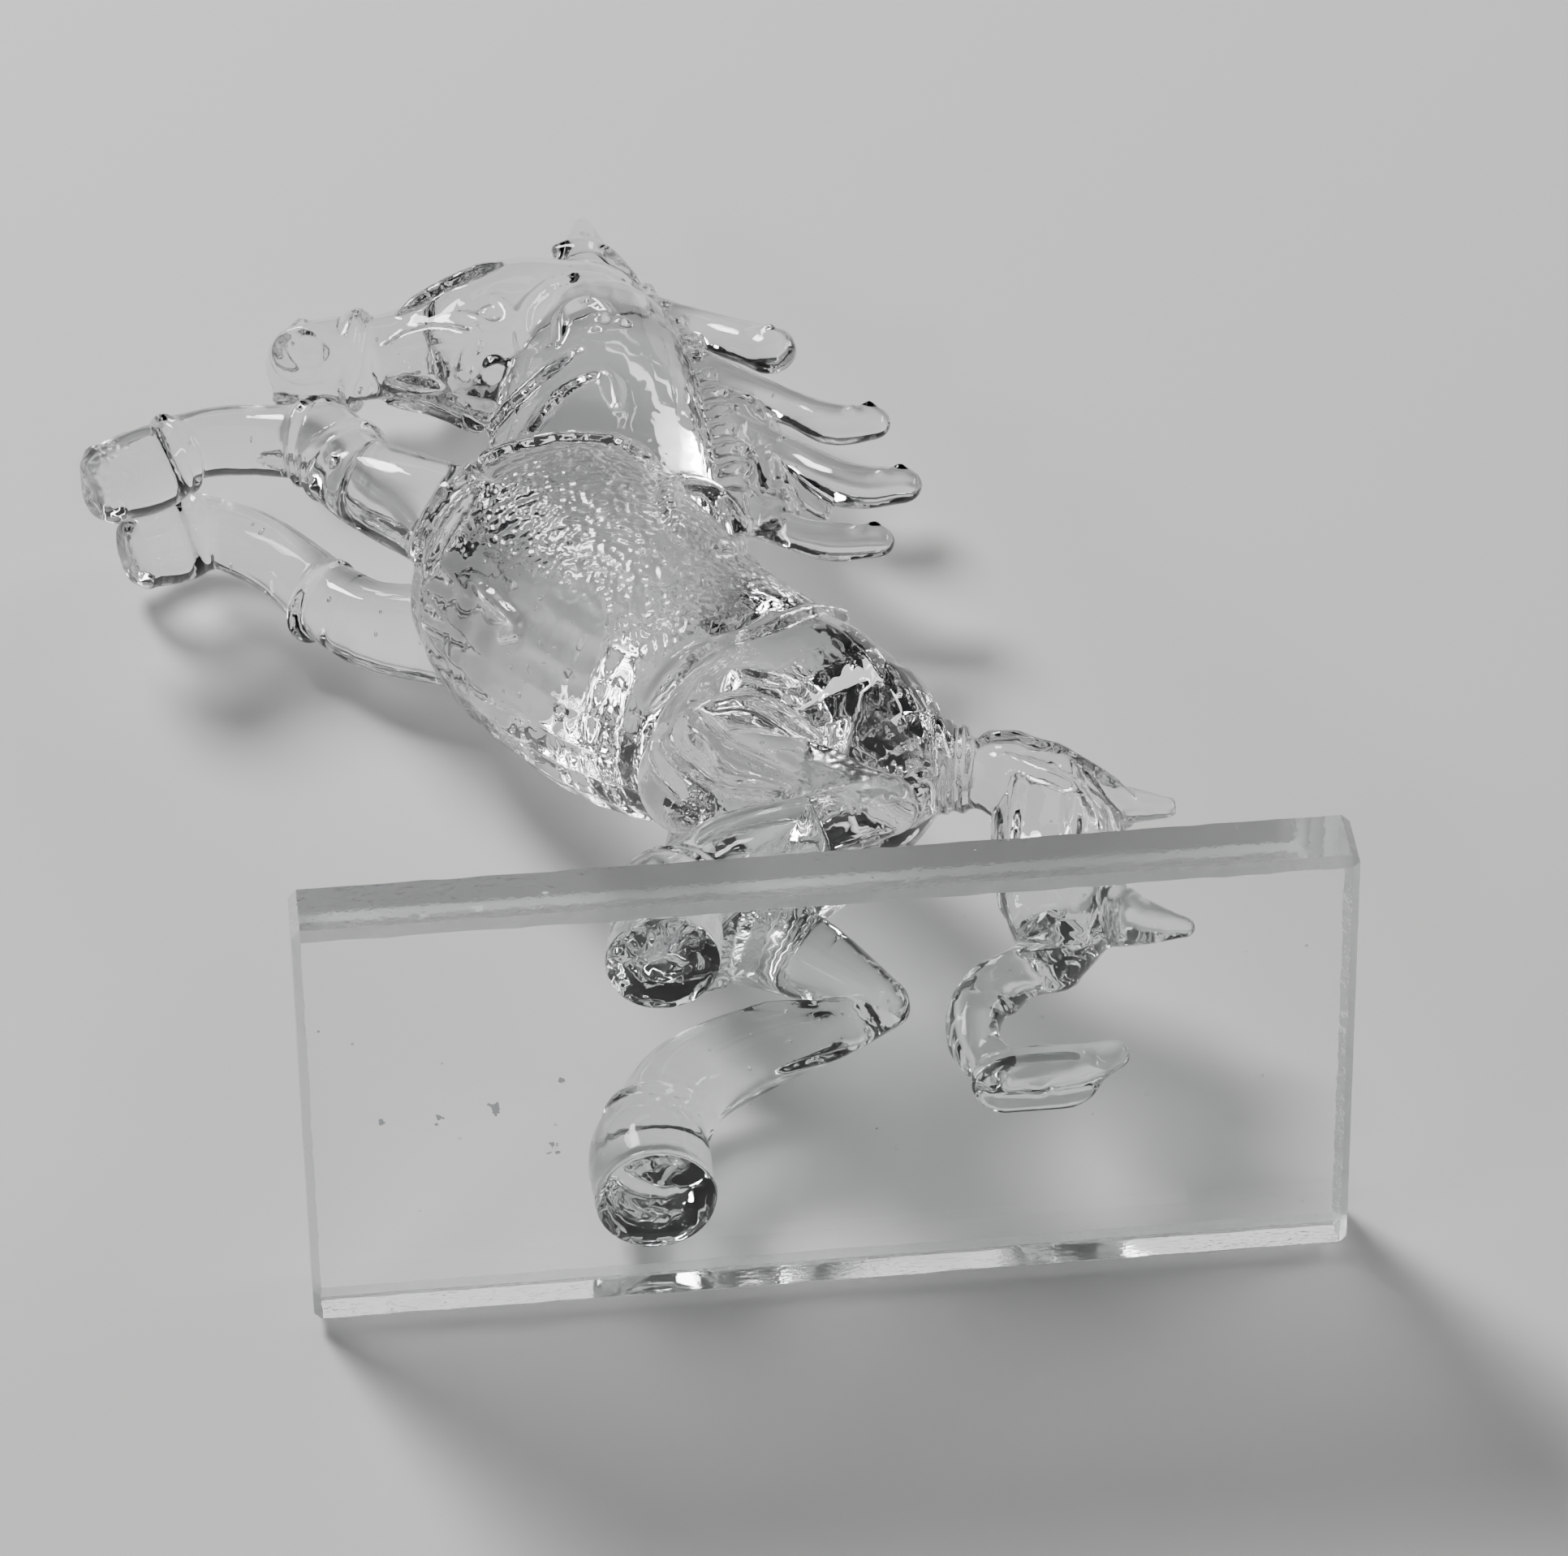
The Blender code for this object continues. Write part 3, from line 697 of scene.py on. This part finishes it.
def add_pad(bm):
    middle, reach, radius, thickness = TAIL_PAD
    rim = []
    for i in range(PAD_STEPS):
        turn = 2 * math.pi * i / PAD_STEPS
        x = radius * math.cos(turn) + math.copysign(reach, math.cos(turn))
        rim.append(Vector((middle[0] + x, middle[1] + radius * math.sin(turn), middle[2], thickness)))
    add_tube(bm, rim + rim[:2], 1.0, sides=THREAD_SIDES)


def add_strands(bm, stroke, start, end, count, turns, thickness, sink):
    side_share, rows = stroke
    points = catmull_rom(rows, TUBE_STEP)
    frames = framed(points, int(start * (len(points) - 1)), int(end * (len(points) - 1)))
    for k in range(count):
        strand = []
        for i, (point, across, upright) in enumerate(frames):
            turn = 2 * math.pi * ((k + 0.5) / count + turns * i / len(frames))
            fade = taper(i, len(frames), STRAND_TAPER, STRAND_STEPS)
            offset = across * math.cos(turn) + upright * math.sin(turn)
            offset.y *= side_share
            reach = point.w * (1 - sink)
            size = thickness * fade * min(1.0, point.w / STRAND_FULL_RADIUS)
            strand.append(Vector((*(point.xyz + offset * (reach - thickness * (1 - fade))), size)))
        add_tube(bm, rounded_ends(strand), 1.0, sides=THREAD_SIDES)


def smooth_step(low, high, value):
    share = np.clip((value - low) / (high - low), 0, 1)
    return share * share * (3 - 2 * share)


def rise_and_fall(value, rise_start, rise_end, fall_start, fall_end):
    """One between the rise and the fall, fading to zero beyond them."""
    return smooth_step(rise_start, rise_end, value) * (1 - smooth_step(fall_start, fall_end, value))


def barrel_masks(places):
    """How much of the hammering, the belly's ribs and the back's satin band each place gets."""
    start, end = np.array(BARREL_START), np.array(BARREL_END)
    axis = (end - start) / np.linalg.norm(end - start)
    back = np.array((-axis[2], 0, axis[0]))
    from_start = places - start
    along = from_start @ axis
    radial = from_start - np.outer(along, axis)
    distance = np.linalg.norm(radial, axis=1)
    lean = (radial @ back) / np.maximum(distance, NEXT_TO_NOTHING)
    on_skin = rise_and_fall(distance, *BARREL_SKIN)
    hammered = rise_and_fall(along, *HAMMERED_ALONG) * on_skin
    hammered *= 1 - smooth_step(*HAMMERED_TO_BACK, lean)
    hammered *= smooth_step(*HAMMERED_FROM_BELLY, lean)
    hammered *= np.where(places[:, 1] < 0, 1.0, RIGHT_SIDE_SHARE)
    ribbed = rise_and_fall(along, *RIBS_ALONG) * on_skin
    ribbed *= smooth_step(*RIBS_TO_BELLY, -lean) * np.cos(2 * np.pi * along / RIB_PITCH)
    satin = rise_and_fall(along, *SATIN_ALONG) * on_skin
    satin *= smooth_step(*SATIN_TO_BACK, lean)
    return hammered, ribbed, satin


def relief(places):
    """How far each place on the horse's skin stands out or in, in drawn millimetres."""
    out = np.zeros(len(places))
    hammered, ribbed, _ = barrel_masks(places)
    for i, place in enumerate(places):
        point = Vector(place)
        out[i] = WOBBLE * noise.noise(point / WOBBLE_SIZE) + RIB_DEPTH * ribbed[i]
        if hammered[i] > LEAST_HAMMERING:
            pits, _ = noise.voronoi(point / DIMPLE_SIZE)
            pit = min(1.0, pits[0] * DIMPLE_SPREAD)
            out[i] += hammered[i] * DIMPLE_DEPTH * (pit * pit - DIMPLE_LEVEL)
    return out


def add_ball(bm, middle, radius):
    place = Matrix.Translation(middle)
    bmesh.ops.create_icosphere(bm, subdivisions=BALL_ROUNDNESS, radius=radius, matrix=place)


def bubble_mesh(strokes):
    """Closed hollows inside the strokes, with their faces pointing into the air they hold."""
    chance = random.Random(BUBBLE_SEED)
    bm = bmesh.new()
    for name, count, least, most in BUBBLES:
        side_share, rows = strokes[name]
        points = catmull_rom(rows, TUBE_STEP)
        for _ in range(count):
            point = chance.choice(points)
            turn = chance.uniform(0, 2 * math.pi)
            reach = point.w * BUBBLE_REACH * math.sqrt(chance.random())
            across, up = math.cos(turn) * BUBBLE_SPREAD_X, math.sin(turn + BUBBLE_TWIST) * BUBBLE_SPREAD_Z
            middle = point.xyz + Vector((across, math.sin(turn) * side_share, up)) * reach
            middle.z = max(middle.z, BUBBLE_SOLE_GAP * most)
            add_ball(bm, middle, chance.uniform(least, most))
    bmesh.ops.reverse_faces(bm, faces=bm.faces[:])
    mesh = bpy.data.meshes.new("bubbles")
    bm.to_mesh(mesh)
    bm.free()
    return mesh


def mark_finish(mesh):
    """Vertex attributes: satin for pressed, frosted and cut places, glue for the soles."""
    places = np.array([vertex.co for vertex in mesh.vertices])
    places = (places - np.array((0, 0, SOLE_Z))) / MM
    hammered, _, satin = barrel_masks(places)
    satin = np.maximum(satin, hammered * HAMMERED_SATIN)
    hammered *= np.where(places[:, 1] < 0, 1.0, RIGHT_SIDE_SHARE)
    for middle, reach, weight in FROSTED:
        distance = np.linalg.norm(places - np.array(middle), axis=1)
        satin = np.maximum(satin, weight * (1 - smooth_step(FROST_EDGE * reach, reach, distance)))
    glue = 1 - smooth_step(*GLUE_TOP, places[:, 2])
    glue *= np.where(places[:, 1] < GLUE_SIDE, 1.0, GLUE_ELSEWHERE)
    for name, values in (("satin", satin), ("glue", glue), ("hammered", hammered)):
        mesh.attributes.new(name, "FLOAT", "POINT").data.foreach_set("value", values.astype(np.float32))


def draw_horse(strokes):
    """Strokes, threads, pad, beads, strands and rings as one mesh, in drawn millimetres."""
    skin = packed_skin()
    bm = bmesh.new()
    for side_share, rows in strokes.values():
        add_tube(bm, rounded_ends(catmull_rom(rows, TUBE_STEP)), side_share)
    for rows in FLAT_ENDED.values():
        add_tube(bm, catmull_rom(rows, TUBE_STEP), 1.0)
    band = Matrix.Translation(NOSE_BAND_MIDDLE) @ Matrix.Rotation(NOSE_BAND_LEAN, 4, "Y")
    add_ring(bm, band, NOSE_BAND_RADIUS, NOSE_BAND_THICKNESS)
    for name, (radius, rows) in SIDE_THREADS.items():
        lay_thread(bm, skin, radius, rows, mirrored=name in MIRRORED)
    lay_thread(bm, skin, WITHERS_LOOP[0], oval_rows(*WITHERS_LOOP[1:]), closed=True)
    lay_thread(bm, skin, MUZZLE_RIM[0], oval_rows(*MUZZLE_RIM[1:]), closed=True, mirrored=True)
    add_pad(bm)
    for x, y, z, radius in BEADS + tip_droplets():
        place, _ = carried_to_skin(skin, Vector((x, y, z)))
        if place is not None:
            add_ball(bm, place, radius)
    for name, *how in STRANDS:
        add_strands(bm, strokes[name], *how)
    for middle, direction, radius, thickness in RINGS:
        turn = Vector((1, 0, 0)).rotation_difference(Vector(direction)).to_matrix().to_4x4()
        add_ring(bm, Matrix.Translation(middle) @ turn, radius, thickness)
    bmesh.ops.recalc_face_normals(bm, faces=bm.faces)
    return bm


def fuse(horse):
    """Melts the strokes into one skin and softens the joints between them."""
    melt = horse.modifiers.new("fused_in_the_flame", "REMESH")
    melt.mode = "VOXEL"
    melt.voxel_size = FUSE_VOXEL
    melt.use_smooth_shade = True
    soften = horse.modifiers.new("softened_joints", "SMOOTH")
    soften.factor = FUSE_SOFTNESS
    soften.iterations = FUSE_SMOOTHING
    apply_modifiers(horse)


def work_skin(mesh, strokes):
    """Gives the skin its relief, soles and bubbles, and brings it from drawn millimetres to its place."""
    places = np.array([vertex.co for vertex in mesh.vertices])
    normals = np.array([vertex.normal for vertex in mesh.vertices])
    places = press_soles(places + normals * relief(places)[:, None])
    mesh.vertices.foreach_set("co", places.ravel())
    bm = bmesh.new()
    bm.from_mesh(mesh)
    bm.from_mesh(bubble_mesh(strokes))
    bm.transform(Matrix.Translation((0, 0, SOLE_Z)) @ Matrix.Scale(MM, 4))
    bm.to_mesh(mesh)
    bm.free()
    mesh.shade_smooth()


def thin_skin(horse):
    """Brings the skin under the face limit and holds it inside the solid's box."""
    thin = horse.modifiers.new("thinned", "DECIMATE")
    thin.ratio = FACE_LIMIT / sum(len(face.vertices) - 2 for face in horse.data.polygons)
    apply_modifiers(horse)
    places = np.array([vertex.co for vertex in horse.data.vertices])
    horse.data.vertices.foreach_set("co", np.clip(places, HORSE_LOW, HORSE_HIGH).ravel())


def build_horse():
    strokes = all_strokes()
    horse = new_object("glass_horse", draw_horse(strokes), horse_glass())
    horse.data.shade_smooth()
    fuse(horse)
    work_skin(horse.data, strokes)
    thin_skin(horse)
    mark_finish(horse.data)
    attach(horse, "root")
    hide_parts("horse")


def build_slab():
    """The plate with chamfers whose borders waver as hand-ground ones do."""
    chance = random.Random(CHAMFER_SEED)
    bm = bmesh.new()
    size = SLAB_HIGH - SLAB_LOW
    middle = (SLAB_HIGH + SLAB_LOW) / 2
    bmesh.ops.create_cube(bm, size=1, matrix=Matrix.Translation(middle) @ Matrix.Diagonal((*size, 1)))
    bmesh.ops.bevel(bm, geom=bm.edges[:], offset=CHAMFER / 1000, segments=1, affect="EDGES")
    borders = [edge for edge in bm.edges if edge.calc_length() > LONG_EDGE]
    bmesh.ops.subdivide_edges(bm, edges=borders, cuts=CHAMFER_CUTS)
    for vertex in bm.verts:
        place = vertex.co
        gaps = [min(place[k] - SLAB_LOW[k], SLAB_HIGH[k] - place[k]) for k in range(3)]
        lies_on = [k for k in range(3) if gaps[k] < ON_FACE]
        if len(lies_on) == 1:
            inner = [k for k in range(3) if k not in lies_on and abs(gaps[k] - CHAMFER / 1000) < ON_BORDER]
            if len(inner) == 1:
                k = inner[0]
                away = 1 if place[k] < middle[k] else -1
                place[k] += away * chance.uniform(-1, 1) * CHAMFER_UNEVENNESS / 1000
    bmesh.ops.recalc_face_normals(bm, faces=bm.faces)
    slab = new_object("glass_slab", bm, slab_glass())
    ground = slab.data.attributes.new("ground", "FLOAT", "FACE")
    for face in slab.data.polygons:
        squareness = max(abs(part) for part in face.normal)
        side = abs(face.normal.z) < SIDE_FACE
        ground.data[face.index].value = 1.0 if squareness < FLAT_FACE else SIDE_GRIND if side else 0.0
    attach(slab, "root")
    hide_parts("base_slab")


def one_sided(name, tone):
    """A plain pale surface that is see-through from behind."""
    material = bpy.data.materials.new(name)
    material.use_nodes = True
    nodes, links = material.node_tree.nodes, material.node_tree.links
    shader = nodes["Principled BSDF"]
    shader.inputs["Base Color"].default_value = (*tone, 1)
    shader.inputs["Roughness"].default_value = FLOOR_ROUGHNESS
    clear = nodes.new("ShaderNodeBsdfTransparent")
    facing = nodes.new("ShaderNodeNewGeometry")
    mix = nodes.new("ShaderNodeMixShader")
    links.new(facing.outputs["Backfacing"], mix.inputs["Fac"])
    links.new(shader.outputs["BSDF"], mix.inputs[1])
    links.new(clear.outputs["BSDF"], mix.inputs[2])
    links.new(mix.outputs["Shader"], nodes["Material Output"].inputs["Surface"])
    return material


def add_plane(name, middle, normal, reach, material):
    bm = bmesh.new()
    bmesh.ops.create_grid(bm, x_segments=1, y_segments=1, size=reach)
    bm.transform(Matrix.Translation(middle) @ Vector(normal).to_track_quat("Z", "Y").to_matrix().to_4x4())
    made = new_object(name, bm, material)
    made.visible_shadow = False
    made.visible_diffuse = False


def add_lamp(name, data, place, aim):
    lamp = bpy.data.objects.new(name, data)
    lamp.location = place
    lamp.rotation_mode = "QUATERNION"
    lamp.rotation_quaternion = (Vector(aim) - Vector(place)).to_track_quat("-Z", "Y")
    bpy.context.scene.collection.objects.link(lamp)


def add_key():
    data = bpy.data.lights.new("key", "SUN")
    data.energy = KEY_STRENGTH
    data.angle = KEY_BREADTH
    add_lamp("key", data, KEY_FROM, LIGHT_AIM)


def add_softbox(name, place, size, watts):
    data = bpy.data.lights.new(name, "AREA")
    data.shape = "RECTANGLE"
    data.size, data.size_y = size
    data.energy = watts
    add_lamp(name, data, place, LIGHT_AIM)


def dim_world():
    """Soft surroundings, pale level with the floor and dark overhead and towards -Y, so that the
    glass gets dark edges."""
    world = bpy.data.worlds.new("studio")
    bpy.context.scene.world = world
    world.use_nodes = True
    tree = world.node_tree
    parts = tree.nodes.new("ShaderNodeSeparateXYZ")
    tree.links.new(tree.nodes.new("ShaderNodeTexCoord").outputs["Generated"], parts.inputs["Vector"])
    behind = between(tree, parts.outputs["Y"], *WORLD_TURN)
    under_ceiling = between(tree, parts.outputs["Z"], *WORLD_CEILING, 1.0, 0.0)
    share = math_node(tree, "MULTIPLY", behind, under_ceiling)
    background = tree.nodes["Background"]
    background.inputs["Color"].default_value = (*WORLD_TONE, 1)
    tree.links.new(between(tree, share, 0.0, 1.0, WORLD_DARK, WORLD_PALE), background.inputs["Strength"])


def build_stage():
    tone = one_sided("floor_paint", FLOOR_TONE)
    add_plane("floor", (0, 0, -FLOOR_GAP), (0, 0, 1), STAGE_REACH, tone)
    lean = Vector((0, -math.cos(TABLE_LEAN), -math.sin(TABLE_LEAN)))
    add_plane("table", (0, SLAB_HIGH.y + TABLE_GAP, SLAB_HIGH.z), lean, STAGE_REACH, tone)
    dim_world()
    add_key()
    for softbox in SOFTBOXES:
        add_softbox(*softbox)


def build_camera():
    data = bpy.data.cameras.new("camera")
    data.lens = CAMERA_LENS
    data.sensor_width = SENSOR_WIDTH
    data.clip_start, data.clip_end = CAMERA_RANGE
    camera = bpy.data.objects.new("camera", data)
    right, up = Vector(CAMERA_RIGHT), Vector(CAMERA_UP)
    turn = Matrix((right, up, right.cross(up))).transposed().normalized()
    camera.matrix_world = Matrix.Translation(CAMERA_PLACE) @ turn.to_4x4()
    bpy.context.scene.collection.objects.link(camera)
    bpy.context.scene.camera = camera


build_camera()
build_stage()
build_slab()
build_horse()
